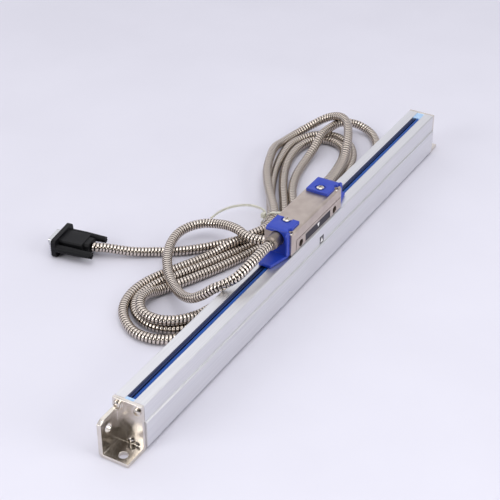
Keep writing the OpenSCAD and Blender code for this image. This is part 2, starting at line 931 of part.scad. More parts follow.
// Turned gland: a plain sleeve at the head that narrows to a collar round the cable.
module gland() {
    sleeve_r = gland_d / 2;
    collar_r = cable_r + 0.9;
    collar_len = 1.6;
    color("#b5ac9d")
        translate([head_x0, gland_y, gland_h])
            rotate([0, -90, 0])
                rotate_extrude()
                    polygon([
                        [core_r, 0], [sleeve_r, 0], [sleeve_r, gland_len - collar_len - 1.4],
                        [sleeve_r - 0.7, gland_len - collar_len - 0.3], [collar_r, gland_len - collar_len],
                        [collar_r, gland_len - 0.3], [collar_r - 0.3, gland_len], [core_r, gland_len]
                    ]);
}

module cable_loop() {
    color("#a79f95")
        cord(loop_route, cable_r);
}

module cable_tail() {
    color("#a79f95")
        cord(tail_route, cable_r);
}

// Outer shape of the tied turns: two lobes joined by a waist, with the turns that lie on top.
module cable_hank() {
    waist = [[46, 36.5], 20.2];
    left_lobe = [[-89, 58], 41];
    right_lobe = [[170, 66], 50];
    right_tip = [[196, 57], 39];
    color("#a79f95") {
        translate([0, 0, hank_z0]) {
            linear_extrude(hank_layer)
                hull()
                    for (c = [left_lobe, waist])
                        translate(c[0])
                            circle(c[1]);
            linear_extrude(2 * hank_layer)
                hull()
                    for (c = [waist, right_lobe, right_tip])
                        translate(c[0])
                            circle(c[1]);
        }
        band(left_turn, cable_r + 0.75, hank_layer, 2 * hank_layer + 1);
        band(top_turn, cable_r + 0.75, 2 * hank_layer, 3 * hank_layer + 2.5);
    }
}

// Nylon tie round the bundle with a locking head and a long curled tail.
module cable_tie() {
    y0 = 15;
    y1 = 60;
    z1 = 3 * hank_layer + 2;
    crest_y = 33;
    lock = 7;
    tail_r = 30.5;
    tail_w = 2.5;
    tail_z = 8;
    color("#e9e9df", 0.8) {
        along_x(tie_x - tie_w / 2, tie_x + tie_w / 2)
            difference() {
                polygon([
                    [y0, 2], [y0 + 2, 0.05], [y1 - 2, 0.05], [y1, 2], [y1, 15], [y1 - 3, 18],
                    [crest_y, z1], [y0 + 2, z1], [y0, z1 - 2]
                ]);
                polygon([
                    [y0 + tie_t, 2.5], [y0 + 2.5, 0.05 + tie_t], [y1 - 2.5, 0.05 + tie_t],
                    [y1 - tie_t, 2.5], [y1 - tie_t, 14.5], [y1 - 3.5, 17],
                    [crest_y - 0.4, z1 - tie_t], [y0 + 2.5, z1 - tie_t], [y0 + tie_t, z1 - 2.5]
                ]);
            }
        block([tie_x - lock / 2, y1 - tie_t, 5], [tie_x + lock / 2, y1 + 4, 10.5]);
        translate([tie_x + lock / 2 - tail_w / 2 - tail_r, y1 + 1, tail_z])
            rotate_extrude(angle = 97)
                translate([tail_r - tail_w / 2, 0])
                    square([tail_w, 1]);
    }
}

// ---- Plug -------------------------------------------------------------------------------------

// Puts a piece of the plug, drawn along +Y from the hood's mouth, in its place on the floor.
module at_plug() {
    translate([plug_x, plug_y, plug_z])
        rotate([0, 0, plug_turn])
            children();
}

// Rectangle round the plug's axis with bevelled corners.
module bevelled(w, h, bevel) {
    polygon([
        [-w / 2 + bevel, -h / 2], [w / 2 - bevel, -h / 2], [w / 2, -h / 2 + bevel],
        [w / 2, h / 2 - bevel], [w / 2 - bevel, h / 2], [-w / 2 + bevel, h / 2],
        [-w / 2, h / 2 - bevel], [-w / 2, -h / 2 + bevel]
    ]);
}

// Rounded outline of the hood's front plate.
module front_outline() {
    r = 3;
    offset(r = r, $fn = 32)
        square([plug_w - 2 * r, hood_h - 2 * r], center = true);
}

// Outside of the hood: a neck at the cable, a bevelled body, a front plate and two barrels.
module hood_outside() {
    back = hood_len - front_t;
    along_y(0, neck_len + thin)
        bevelled(neck_w, body_h - 1.2, 1.6);
    along_y(neck_len, back + thin)
        bevelled(body_w, body_h, 1);
    along_y(back, hood_len)
        front_outline();
    for (side = [-1, 1]) {
        translate([side * jack_pitch / 2, barrel_y0, 0])
            rotate([-90, 0, 0])
                cylinder(r = barrel_r, h = back - barrel_y0 + thin);
        block(
            [side * (body_w + barrel_r) / 2 - 1.5, barrel_y0 + 1, -1.5],
            [side * (body_w + barrel_r) / 2 + 1.5, back, 1.5]
        );
    }
}

// The hood's inside and the ways through it for the cable, the shell and the jackscrews.
module hood_spaces() {
    inner_w = body_w - 2 * hood_t;
    inner_h = body_h - 2 * hood_t;
    mouth_w = shell_w + 0.8;
    mouth_h = shell_h + 0.8;
    mouth_t = 3;
    block(
        [-inner_w / 2, neck_len + hood_t, -inner_h / 2],
        [inner_w / 2, hood_len - mouth_t + thin, inner_h / 2]
    );
    block([-mouth_w / 2, hood_len - mouth_t, -mouth_h / 2], [mouth_w / 2, hood_len + 1, mouth_h / 2]);
    for (side = [-1, 1])
        translate([side * jack_pitch / 2, barrel_y0 - 1, 0])
            rotate([-90, 0, 0])
                cylinder(r = shank_r + slop, h = hood_len);
    translate([0, -1, 0])
        rotate([-90, 0, 0])
            cylinder(r = core_r, h = neck_len + hood_t + 2);
}

// Half of the hood between two heights over its axis.
module hood_half(z0, z1) {
    color("#232325")
        at_plug()
            intersection() {
                difference() {
                    hood_outside();
                    hood_spaces();
                }
                block([-plug_w, -1, z0], [plug_w, hood_len + 1, z1]);
            }
}

module hood_lower() {
    hood_half(-hood_h, 0);
}

module hood_upper() {
    hood_half(0, hood_h);
}

// D-shaped outline of the shell, wide side up, with rounded corners.
module shell_outline(grow) {
    w = shell_w / 2 + grow;
    h = shell_h / 2 + grow;
    lean = 1.4;
    r = 1.6;
    hull()
        for (side = [-1, 1]) {
            translate([side * (w - r), h - r])
                circle(r, $fn = 24);
            translate([side * (w - r - lean), -h + r])
                circle(r, $fn = 24);
        }
}

// Pressed flange with the D-shaped shell that stands out of it.
module plug_flange() {
    w = plug_w - 1;
    color("#c5c7cb")
        at_plug()
            difference() {
                union() {
                    along_y(hood_len, hood_len + face_t)
                        difference() {
                            square([w, plug_h], center = true);
                            for (side = [-1, 1])
                                translate([side * jack_pitch / 2, 0])
                                    circle(r = shank_r + slop);
                        }
                    along_y(hood_len, hood_len + face_t + shell_len)
                        shell_outline(0);
                }
                along_y(hood_len - 1, hood_len + face_t + shell_len + 1)
                    shell_outline(-0.5);
            }
}

module plug_insert() {
    color("#1b1b1d")
        at_plug()
            difference() {
                along_y(hood_len - 2.5, hood_len + face_t + 1)
                    shell_outline(-0.5 - slop);
                for (p = contact_places())
                    translate([p[0], hood_len - 4, p[1]])
                        rotate([-90, 0, 0])
                            cylinder(d = 1, h = 8);
            }
}

// Five contacts in the upper row and four in the lower one.
function contact_places() = [
    for (i = [-2:2]) [i * contact_pitch, contact_rows / 2],
    for (i = [-1.5:1.5]) [i * contact_pitch, -contact_rows / 2]
];

module plug_contacts() {
    pin_len = face_t + shell_len + 1.6;
    color("#d8b45a")
        at_plug()
            for (p = contact_places())
                translate([p[0], hood_len - 2.5, p[1]])
                    rotate([-90, 0, 0]) {
                        cylinder(d = 1, h = pin_len, $fn = 24);
                        translate([0, 0, pin_len])
                            sphere(d = 1, $fn = 24);
                    }
}

// Jackscrew: a tapered knob with a slot in its end, and a shank that ends in the flange.
module jackscrew(side) {
    start = barrel_y0 - slop - knob_len;
    color("#2b2b2e")
        at_plug()
            translate([side * jack_pitch / 2, start, 0])
                rotate([-90, 0, 0])
                    difference() {
                        union() {
                            cylinder(r1 = knob_end_r, r2 = knob_r, h = knob_len);
                            cylinder(r = shank_r, h = hood_len + face_t - start);
                        }
                        translate([-knob_r - 1, -0.5, -1])
                            cube([2 * knob_r + 2, 1, 2.2]);
                    }
}

module jackscrew_left() {
    jackscrew(-1);
}

module jackscrew_right() {
    jackscrew(1);
}

housing();
seal_lip_front();
seal_lip_back();
slot_plug_near();
slot_plug_far();
glass_strip();
glass_bed();
end_bracket_near();
end_bracket_far();
end_screws_near();
end_screws_far();
head_body();
head_base();
head_bottom();
head_label();
head_corner_screws();
blade();
carriage();
sensor_board();
sensor_window();
lamp();
edge_roller_pins();
face_roller_pins();
edge_roller_near();
edge_roller_far();
face_roller_near();
face_roller_far();
ship_bracket_near();
ship_bracket_far();
ship_screw_near();
ship_screw_far();
gland();
cable_loop();
cable_hank();
cable_tail();
cable_tie();
hood_lower();
hood_upper();
plug_flange();
plug_insert();
plug_contacts();
jackscrew_left();
jackscrew_right();
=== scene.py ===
"""Linear glass scale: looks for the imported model. Lengths are in metres, and MM turns millimetres
to metres."""

import math

import bmesh
import bpy
import numpy as np
from mathutils import Matrix, Vector
from mathutils.bvhtree import BVHTree


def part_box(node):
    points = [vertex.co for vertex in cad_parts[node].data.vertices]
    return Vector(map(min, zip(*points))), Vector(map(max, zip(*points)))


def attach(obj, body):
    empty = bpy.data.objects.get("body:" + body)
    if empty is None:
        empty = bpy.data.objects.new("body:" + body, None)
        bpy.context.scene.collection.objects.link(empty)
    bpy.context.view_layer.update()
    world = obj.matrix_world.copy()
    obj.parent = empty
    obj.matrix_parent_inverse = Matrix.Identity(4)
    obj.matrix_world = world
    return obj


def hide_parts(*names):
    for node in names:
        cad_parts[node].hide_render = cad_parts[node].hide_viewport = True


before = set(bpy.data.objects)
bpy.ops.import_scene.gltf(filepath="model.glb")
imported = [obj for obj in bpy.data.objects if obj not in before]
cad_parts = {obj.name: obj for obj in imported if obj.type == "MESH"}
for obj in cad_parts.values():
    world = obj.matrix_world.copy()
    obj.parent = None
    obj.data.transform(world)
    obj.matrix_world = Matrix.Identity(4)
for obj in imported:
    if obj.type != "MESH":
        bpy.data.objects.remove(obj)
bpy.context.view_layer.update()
scene = bpy.context.scene
MM = 0.001


def link(name, data):
    """A new object in the scene that holds a mesh, a lamp or a camera."""
    made = bpy.data.objects.new(name, data)
    scene.collection.objects.link(made)
    return made


# ---- Camera ------------------------------------------------------------------------------------

CAMERA_PLACE = Vector((-746.4, -397.0, 582.0)) * MM
CAMERA_TURN = math.radians(30.38)
CAMERA_DIP = math.radians(33.44)
CAMERA_ROLL = math.radians(-0.22)
CAMERA_LENS = 95.65


def make_camera():
    """The camera, from where it stands, how far it turns and dips, and its slight roll."""
    ahead = Vector((
        math.cos(CAMERA_TURN) * math.cos(CAMERA_DIP),
        math.sin(CAMERA_TURN) * math.cos(CAMERA_DIP),
        -math.sin(CAMERA_DIP),
    ))
    level = Vector((math.sin(CAMERA_TURN), -math.cos(CAMERA_TURN), 0))
    upward = level.cross(ahead)
    right = math.cos(CAMERA_ROLL) * level + math.sin(CAMERA_ROLL) * upward
    top = right.cross(ahead)
    data = bpy.data.cameras.new("camera")
    data.lens = CAMERA_LENS
    data.sensor_width = 36
    data.clip_start = 0.01
    data.clip_end = 50
    camera = link("camera", data)
    turn = Matrix((right, top, -ahead)).transposed().to_4x4()
    camera.matrix_world = Matrix.Translation(CAMERA_PLACE) @ turn
    scene.camera = camera
    # A plain response, so that each colour comes out as it was chosen
    scene.view_settings.view_transform = "Standard"


# ---- Materials: helpers ------------------------------------------------------------------------


def linear(hex_colour):
    """An sRGB hex colour as linear RGBA."""
    parts = [int(hex_colour[i : i + 2], 16) / 255 for i in (1, 3, 5)]
    parts = [c / 12.92 if c <= 0.04045 else ((c + 0.055) / 1.055) ** 2.4 for c in parts]
    return (*parts, 1.0)


def add(tree, kind, inputs=None, stops=(), **settings):
    """Adds a node, sets its settings and colour stops, and fills or links its inputs by name or
    number."""
    made = tree.nodes.new(kind)
    for key, value in settings.items():
        setattr(made, key, value)
    for key, value in (inputs or {}).items():
        if isinstance(value, bpy.types.NodeSocket):
            tree.links.new(value, made.inputs[key])
        else:
            made.inputs[key].default_value = value
    for number, (at, shade) in enumerate(stops):
        made.color_ramp.elements[number].position = at
        made.color_ramp.elements[number].color = linear(shade)
    return made


# The values of a pattern's noise between which it moves from one shade or roughness to the other
SHADE_SPAN = (0.35, 0.65)
GLOSS_SPAN = (0.3, 0.7)


def wear(tree, shader, size, stretch=(1, 1, 1), detail=3.0, shades=None, gloss=None, depth=None):
    """One pattern on object coordinates, about size metres across. It moves the surface between two
    shades, between two roughnesses, and up and down by depth metres."""
    place = add(tree, "ShaderNodeTexCoord")
    drawn = add(tree, "ShaderNodeMapping", {"Vector": place.outputs["Object"], "Scale": stretch})
    pattern = {"Vector": drawn.outputs[0], "Scale": 1 / size, "Detail": detail}
    value = add(tree, "ShaderNodeTexNoise", pattern).outputs["Fac"]
    if shades:
        ramp = add(tree, "ShaderNodeValToRGB", {"Fac": value}, stops=zip(SHADE_SPAN, shades))
        tree.links.new(ramp.outputs["Color"], shader.inputs["Base Color"])
    if gloss:
        limits = zip(("From Min", "From Max", "To Min", "To Max"), (*GLOSS_SPAN, *gloss))
        span = add(tree, "ShaderNodeMapRange", {"Value": value, **dict(limits)})
        tree.links.new(span.outputs["Result"], shader.inputs["Roughness"])
    if depth:
        bump = add(tree, "ShaderNodeBump", {"Height": value, "Distance": depth})
        tree.links.new(bump.outputs["Normal"], shader.inputs["Normal"])


def surface(name, colour, roughness, metallic=0.0, sockets=None, **pattern):
    """A material with one Principled shader, whose whole-surface values sit on its own sockets, and
    with a pattern of wear."""
    material = bpy.data.materials.new(name)
    material.use_nodes = True
    shader = material.node_tree.nodes["Principled BSDF"]
    values = {"Base Color": linear(colour), "Roughness": roughness, "Metallic": metallic}
    for key, value in {**values, **(sockets or {})}.items():
        shader.inputs[key].default_value = value
    wear(material.node_tree, shader, **pattern)
    return material


# ---- Materials ---------------------------------------------------------------------------------


def anodised_aluminium():
    """Extruded, etched and clear anodised: pale and satin, with fine draw lines along its length.
    The lines are really 0.1 mm apart, and are drawn at 0.6 mm so that they show."""
    return surface(
        "anodised_aluminium", "#E2E2E4", 0.42, 1.0,
        size=0.6 * MM, stretch=(0.01, 1, 1), detail=2,
        shades=("#DEDEE1", "#E7E7E9"), gloss=(0.38, 0.47), depth=0.003 * MM,
    )


def blue_seal_rubber():
    """Extruded nitrile rubber, deep blue, half gloss where the blade wipes it."""
    return surface(
        "blue_seal_rubber", "#0E50A8", 0.4,
        size=0.5 * MM, stretch=(0.02, 1, 1), shades=("#0B4AA0", "#1157B2"), gloss=(0.35, 0.48),
    )


def painted_shade_seal_rubber():
    """The same rubber on the lip behind, in painted shade: a darker copy of the blue for the lip
    that faces away from the light.
    """
    return surface(
        "painted_shade_seal_rubber", "#06245E", 0.42,
        size=0.5 * MM, stretch=(0.02, 1, 1), shades=("#041E54", "#082A68"), gloss=(0.38, 0.5),
    )


def pale_blue_plastic():
    """Moulded polyethylene plug, milky pale blue."""
    return surface(
        "pale_blue_plastic", "#A9CBEE", 0.35,
        size=1.5 * MM, shades=("#A0C4EA", "#B4D3F2"),
    )


def ground_glass():
    """Float glass with ground edges, slightly green."""
    return surface(
        "ground_glass", "#E4F4EE", 0.04, sockets={"Transmission Weight": 0.9, "IOR": 1.52},
        size=0.2 * MM, gloss=(0.03, 0.08),
    )


def black_bedding_rubber():
    """Cellular rubber strip under the glass: dull and fine-pored."""
    return surface(
        "black_bedding_rubber", "#1E1E20", 0.8,
        size=0.3 * MM, shades=("#19191B", "#252528"), depth=0.05 * MM,
    )


def plated_casting():
    """Zinc die casting, polished and nickel plated: warm and bright, with soft reflections."""
    return surface(
        "plated_casting", "#DCD5CD", 0.2, 1.0,
        size=5 * MM, detail=1, shades=("#D7D0C7", "#E1DBD4"), gloss=(0.17, 0.25),
    )


def satin_nickel():
    """Blasted and satin nickel plated: warm beige grey with a fine matt grain."""
    return surface(
        "satin_nickel", "#C6B9B0", 0.4, 1.0,
        size=9 * MM, detail=2, shades=("#C0B3AA", "#CCC0B7"), gloss=(0.36, 0.46),
    )


def turned_nickel():
    """Turned brass, dull nickel plated: darker than the head, with fine rings from the lathe."""
    return surface(
        "turned_nickel", "#91867D", 0.34, 1.0,
        size=0.7 * MM, stretch=(1, 0.05, 0.05), shades=("#887D74", "#9A8F86"), gloss=(0.3, 0.4),
    )


def bright_screw_steel():
    """Cold-headed screw steel, nickel plated: bright."""
    return surface("bright_screw_steel", "#D6D0C8", 0.16, 1.0, size=0.8 * MM, gloss=(0.12, 0.22))


def brushed_steel():
    """Stainless strip, brushed along its length. The scratches are drawn coarser than they are."""
    return surface(
        "brushed_steel", "#B4B2AF", 0.34, 1.0,
        size=0.3 * MM, stretch=(0.02, 1, 1), gloss=(0.28, 0.42), depth=0.004 * MM,
    )


def dark_label_film():
    """Screen-printed polyester film, matt charcoal."""
    return surface(
        "dark_label_film", "#37333B", 0.55, sockets={"Specular IOR Level": 0.25},
        size=0.5 * MM, shades=("#332F37", "#3C3840"),
    )


def white_label_ink():
    """Screen-printed white ink, matt."""
    return surface("white_label_ink", "#F6F4F2", 0.5, size=0.5 * MM, shades=("#F2F0EE", "#FAF8F6"))


def black_print_ink():
    """Black ink printed on the anodised face, slightly glossy."""
    return surface("black_print_ink", "#29272D", 0.4, size=0.5 * MM, shades=("#252329", "#2F2D34"))


def carriage_plastic():
    """Glass-filled nylon, moulded: dark and matt."""
    return surface(
        "carriage_plastic", "#33363A", 0.55,
        size=0.4 * MM, shades=("#2E3135", "#3A3D42"), depth=0.01 * MM,
    )


def green_circuit_board():
    """Epoxy glass board under green solder mask, half gloss."""
    return surface(
        "green_circuit_board", "#1F6B3C", 0.3, sockets={"Coat Weight": 0.4},
        size=0.4 * MM, shades=("#1B6236", "#247544"),
    )


def dark_scanning_glass():
    """Coated glass window of the scanner: nearly black and very smooth."""
    return surface(
        "dark_scanning_glass", "#22262C", 0.06, sockets={"IOR": 1.52},
        size=2 * MM, gloss=(0.04, 0.1),
    )


def white_lamp_plastic():
    """White polycarbonate, moulded, half gloss."""
    return surface(
        "white_lamp_plastic", "#E2E0D8", 0.35, sockets={"IOR": 1.58},
        size=1 * MM, shades=("#DDDBD2", "#E8E6DF"),
    )


def bearing_steel():
    """Ground and polished bearing steel: nearly a mirror."""
    return surface("bearing_steel", "#C4C6C9", 0.14, 1.0, size=0.6 * MM, gloss=(0.1, 0.2))


def blue_bracket_plastic():
    """Moulded ABS in strong blue, with the fine grain of a spark-eroded mould. The grain is really
    0.05 mm, and is drawn at 0.5 mm so that it shows."""
    return surface(
        "blue_bracket_plastic", "#1A3AAE", 0.42, sockets={"IOR": 1.54},
        size=0.5 * MM, detail=1,
        shades=("#1736A8", "#1E40B6"), gloss=(0.38, 0.48), depth=0.006 * MM,
    )


def armour_steel():
    """Interlocked stainless strip: bright rounded turns, with painted shade in the seams between
    them, which the seam attribute marks."""
    material = surface("armour_steel", "#CBBFB2", 0.2, 1.0, size=3 * MM, gloss=(0.1, 0.18))
    tree = material.node_tree
    seam = add(tree, "ShaderNodeAttribute", attribute_name="seam")
    # Painted shade: the steel goes from its own colour on the crests to near black at the bottom of
    # each seam
    turns = add(
        tree, "ShaderNodeValToRGB", {"Fac": seam.outputs["Fac"]},
        stops=[(0.02, "#DCD1C6"), (0.4, "#0F0B09")],
    )
    shader = tree.nodes["Principled BSDF"]
    tree.links.new(turns.outputs["Color"], shader.inputs["Base Color"])
    return material


def natural_nylon():
    """Moulded unpigmented nylon: milky and translucent."""
    return surface(
        "natural_nylon", "#F4F3E4", 0.35, sockets={"Transmission Weight": 0.5, "IOR": 1.53},
        size=1 * MM, shades=("#F0EFDE", "#F8F7EA"),
    )


def black_hood_plastic():
    """Moulded black ABS with a fine grain, drawn at 0.5 mm so that it shows."""
    return surface(
        "black_hood_plastic", "#151517", 0.5, sockets={"IOR": 1.54, "Specular IOR Level": 0.16},
        size=0.5 * MM, detail=2,
        shades=("#111113", "#19191C"), gloss=(0.44, 0.58), depth=0.008 * MM,
    )


def tin_plate():
    """Pressed steel, tin plated, soft bright."""
    return surface("tin_plate", "#C8C9CB", 0.25, 1.0, size=1.5 * MM, gloss=(0.2, 0.34))


def gold_plate():
    """Turned contacts with a thin gold plate: yellow and bright."""
    return surface("gold_plate", "#E2B552", 0.18, 1.0, size=0.5 * MM, gloss=(0.14, 0.26))


def floor_paper():
    """Seamless pale backdrop paper, matt, very slightly uneven."""
    return surface("floor_paper", "#E0DFEA", 0.85, size=120 * MM, shades=("#DFDEE9", "#E2E1EC"))


MATERIAL_OF = {
    anodised_aluminium: ["housing"],
    blue_seal_rubber: ["seal_lip_front"],
    painted_shade_seal_rubber: ["seal_lip_back"],
    pale_blue_plastic: ["slot_plug_near", "slot_plug_far"],
    ground_glass: ["glass_strip"],
    black_bedding_rubber: ["glass_bed"],
    plated_casting: ["end_bracket_near", "end_bracket_far"],
    satin_nickel: ["head_body", "head_base"],
    turned_nickel: ["gland"],
    bright_screw_steel: ["edge_roller_pins", "face_roller_pins"],
    brushed_steel: ["head_bottom", "blade"],
    dark_label_film: ["head_label"],
    carriage_plastic: ["carriage"],
    green_circuit_board: ["sensor_board"],
    dark_scanning_glass: ["sensor_window"],
    white_lamp_plastic: ["lamp"],
    bearing_steel: ["edge_roller_near", "edge_roller_far", "face_roller_near", "face_roller_far"],
    blue_bracket_plastic: ["ship_bracket_near", "ship_bracket_far"],
    black_hood_plastic: [
        "hood_lower", "hood_upper", "plug_insert", "jackscrew_left", "jackscrew_right",
    ],
    tin_plate: ["plug_flange"],
    gold_plate: ["plug_contacts"],
}


def dress_nodes():
    """Gives every CAD node its material, and says which material came from which function."""
    made = {}
    for make, nodes in MATERIAL_OF.items():
        made[make] = make()
        for name in nodes:
            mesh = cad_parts[name].data
            mesh.materials.clear()
            mesh.materials.append(made[make])
    return made


# ---- Mesh helpers ------------------------------------------------------------------------------


def link_mesh(name, verts, faces, material, smooth=False):
    """A new object at the origin from vertices and faces."""
    mesh = bpy.data.meshes.new(name)
    mesh.from_pydata([tuple(v) for v in verts], [], [tuple(f) for f in faces])
    mesh.materials.append(material)
    if smooth:
        mesh.polygons.foreach_set("use_smooth", [True] * len(mesh.polygons))
    mesh.update()
    return link(name, mesh)


def extruded(name, outline, place, axes, depth, material):
    """A flat outline raised by depth from a face. The axes are across it, up it and out of it."""
    across, up, outward = (Vector(axis) for axis in axes)
    base = [Vector(place) + across * a + up * b for a, b in outline]
    top = [p + outward * depth for p in base]
    count = len(base)
    faces = [tuple(range(count, 2 * count)), tuple(range(count - 1, -1, -1))]
    faces += [(i, (i + 1) % count, count + (i + 1) % count, count + i) for i in range(count)]
    return facing_out(link_mesh(name, base + top, faces, material))


def facing_out(made):
    """Turns a piece's faces to point out of it."""
    cleaned = bmesh.new()
    cleaned.from_mesh(made.data)
    bmesh.ops.recalc_face_normals(cleaned, faces=cleaned.faces)
    cleaned.to_mesh(made.data)
    cleaned.free()
    return made


def link_built(name, built, material=None):
    """A new object at the origin from a bmesh, which is freed."""
    mesh = bpy.data.meshes.new(name)
    built.to_mesh(mesh)
    built.free()
    if material:
        mesh.materials.append(material)
    return link(name, mesh)


def joined(name, pieces, material):
    """One object from several."""
    whole = bmesh.new()
    for piece in pieces:
        whole.from_mesh(piece.data)
        bpy.data.objects.remove(piece)
    return link_built(name, whole, material)


def block(name, low, high, material=None, rounding=0.0):
    """A box between two corners, in millimetres, whose edges are rounded by rounding metres."""
    size = (Vector(high) - Vector(low)) * MM
    middle = (Vector(high) + Vector(low)) / 2 * MM
    built = bmesh.new()
    bmesh.ops.create_cube(built, size=1)
    bmesh.ops.scale(built, vec=size, verts=built.verts)
    if rounding:
        edges = list(built.edges)
        bmesh.ops.bevel(
            built, geom=edges, offset=rounding, segments=3, profile=0.5, affect="EDGES"
        )
    bmesh.ops.translate(built, vec=middle, verts=built.verts)
    return link_built(name, built, material)


def modify(made, kind, **settings):
    """Adds a modifier with its settings."""
    added = made.modifiers.new(kind, kind)
    for key, value in settings.items():
        setattr(added, key, value)


# Corners nearer than this are one, before a cut and after it
SAME_CORNER = 0.002 * MM
SAME_CORNER_AFTER_CUT = 0.15 * MM
# Faces that turn less than this from each other are one flat face
FLAT_TURN = math.radians(0.6)
# Edges sharper than these are creased, and rounded
CREASE_TURN = math.radians(30)
ROUNDED_TURN = math.radians(35)
# How far a rounded corner may lie from the shape before rounding, as a share of the radius
STRAY = 0.4


def finished_casting(node, body, material, radius, cuts=()):
    """A CAD node's shape as it leaves the works: its edges rounded over and its inside corners
    filled. Each cut is a box to take away first, as two corners in millimetres."""
    merged = bmesh.new()
    merged.from_mesh(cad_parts[node].data)
    bmesh.ops.remove_doubles(merged, verts=merged.verts, dist=SAME_CORNER)
    bmesh.ops.dissolve_limit(
        merged, angle_limit=FLAT_TURN, verts=merged.verts, edges=merged.edges
    )
    made = link_built(node + "_finished", merged, material)
    made.data.polygons.foreach_set("use_smooth", [True] * len(made.data.polygons))
    made.data.set_sharp_from_angle(angle=CREASE_TURN)
    blocks = [block("cut", low, high) for low, high in cuts]
    for cut in blocks:
        modify(made, "BOOLEAN", operation="DIFFERENCE", object=cut)
    if blocks:
        modify(made, "WELD", merge_threshold=SAME_CORNER_AFTER_CUT)
    unrounded = BVHTree.FromObject(made, bpy.context.evaluated_depsgraph_get())
    modify(
        made, "BEVEL", width=radius, segments=2, limit_method="ANGLE", angle_limit=ROUNDED_TURN,
        harden_normals=True, use_clamp_overlap=False,
    )
    evaluated = made.evaluated_get(bpy.context.evaluated_depsgraph_get())
    finished = bpy.data.meshes.new_from_object(evaluated)
    made.modifiers.clear()
    made.data = finished
    for cut in blocks:
        bpy.data.objects.remove(cut)
    # Where edges meet closely the rounding can throw a corner out: it goes back to the face it left
    low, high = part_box(node)
    for vertex in finished.vertices:
        face_point, _, _, distance = unrounded.find_nearest(vertex.co)
        if distance > STRAY * radius:
            vertex.co = face_point
        vertex.co = [min(max(vertex.co[k], low[k]), high[k]) for k in range(3)]
    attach(made, body)
    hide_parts(node)
    return made


# ---- Armoured cable ----------------------------------------------------------------------------

# The middle of the cable lies at least this far above the floor
LOWEST_MIDDLE = 3.9 * MM
# The cable is drawn through a point every step
ROUTE_STEP = 0.5 * MM
# Points on the smooth curve from one point of a route to the next
CURVE_POINTS = 16

# Radius on the crest of a turn, one turn's advance, and how far the seam lies below the crest
CREST_RADIUS = 3.85 * MM
ARMOUR_PITCH = 2.7 * MM
SEAM_DEPTH = 0.65 * MM
# Sides of the tube, and how deep each band of the strip lies, as a share of the seam's depth
ARMOUR_SIDES = 12
STRIP_PROFILE = (1.0, 0.16, 0.0, 0.0, 0.0, 0.14)
# The armour goes this far into the gland and into the plug
ARMOUR_INSIDE = 3 * MM

# Routes are the middle of the cable, in millimetres.
# Out of the gland, over the back of the housing and round the loose loop into the bundle
LOOP_ROUTE = [
    (-42, 0, 52), (-56, 0, 52), (-69, 1, 50), (-80, 4, 46), (-88, 10, 42), (-92, 17, 38),
    (-94, 25, 31), (-92, 36, 23), (-85, 49, 17), (-73, 64, 13), (-59, 78, 12), (-42, 90, 12),
    (-25, 98, 12), (-9, 101, 12), (4, 98, 12), (12, 90, 13), (14, 79, 15), (12, 67, 18),
    (8, 56, 20), (4, 47, 20), (3, 39, 20), (5, 31, 20),
]
# The tied turns: right lobe on top, then left outer, right outer, left inner, right inner,
# left middle and right middle
HANK_ROUTE = [
    (11, 25, 20), (20, 23, 20), (32, 22, 20), (44, 22, 20), (58, 23, 20), (76, 24, 19),
    (96, 29, 16), (118, 33, 12), (138, 35, 12), (158, 39, 13), (176, 45, 18), (192, 52, 21),
    (207, 61, 22), (216, 72, 21), (218, 85, 16), (210, 97, 9), (194, 105, 5), (175, 108, 5),
    (156, 106, 9), (136, 99, 12), (114, 90, 12), (94, 78, 12), (76, 65, 12), (60, 53, 12),
    (46, 46, 12), (32, 45, 12), (18, 50, 12), (4, 59, 9), (-10, 67, 4.5), (-26, 74, 4),
    (-50, 85, 4), (-70, 92, 4), (-88, 93, 4), (-105, 88, 4), (-118, 77, 4), (-126, 63, 4),
    (-126, 48, 4), (-119, 35, 4), (-106, 26, 4), (-88, 21, 4), (-52, 20, 4), (-2, 20, 4),
    (48, 20, 4), (108, 20, 4), (148, 21, 4), (178, 24, 4), (202, 29, 4), (220, 38, 4),
    (231, 50, 5), (231, 64, 9), (221, 74, 12), (206, 78, 12), (190, 78, 12), (174, 76, 8),
    (156, 75, 4), (130, 70, 4), (106, 61, 4), (84, 48, 4), (66, 39, 4), (46, 36, 4), (26, 37, 4),
    (4, 44, 4), (-22, 53, 4), (-50, 65, 4), (-66, 73, 4), (-76, 77, 5), (-86, 78, 9),
    (-99, 76, 12), (-110, 68, 12), (-114, 56, 12), (-111, 44, 12), (-102, 34, 12), (-89, 27, 12),
    (-70, 24, 12), (-32, 24, 12), (10, 24, 12), (40, 24, 12), (62, 27, 12), (82, 35, 9),
    (102, 40, 4), (122, 42, 4), (144, 43, 4), (164, 46, 4), (179, 50, 4), (191, 56, 4),
    (198, 66, 4), (198, 78, 4), (190, 87, 4), (178, 91, 4), (164, 91, 4), (148, 88, 4),
    (128, 81, 4), (106, 70, 4), (84, 57, 4), (67, 48, 4), (48, 44, 4), (28, 45.5, 4), (4, 53, 4),
    (-22, 63, 4), (-50, 76, 4), (-70, 84, 4), (-86, 86, 4), (-100, 81, 4), (-109, 71, 4),
    (-113, 58, 4), (-111, 46, 4), (-104, 36, 4), (-92, 30, 4), (-72, 28, 4), (-22, 28, 4),
    (38, 28, 4), (62, 28, 4), (98, 28, 4), (134, 31, 4), (162, 36, 4), (184, 43, 4), (200, 54, 4),
    (208, 69, 4), (206, 84, 4), (195, 94, 4), (178, 100, 4), (156, 98, 4), (130, 91, 4),
    (102, 79, 4), (78, 66, 4), (60, 56, 4), (44, 52, 4), (26, 55, 4),
]
# From the bundle to the plug
TAIL_ROUTE = [
    (8, 67, 4), (-8, 80, 4), (-21, 94, 4), (-32, 111, 4), (-40.5, 123.5, 5), (-46, 134, 6.5),
    (-50.5, 144, 7.6), (-53.3, 149, 7.8), (-54, 153, 7.8),
]
CABLE_ROUTE = LOOP_ROUTE + HANK_ROUTE + TAIL_ROUTE


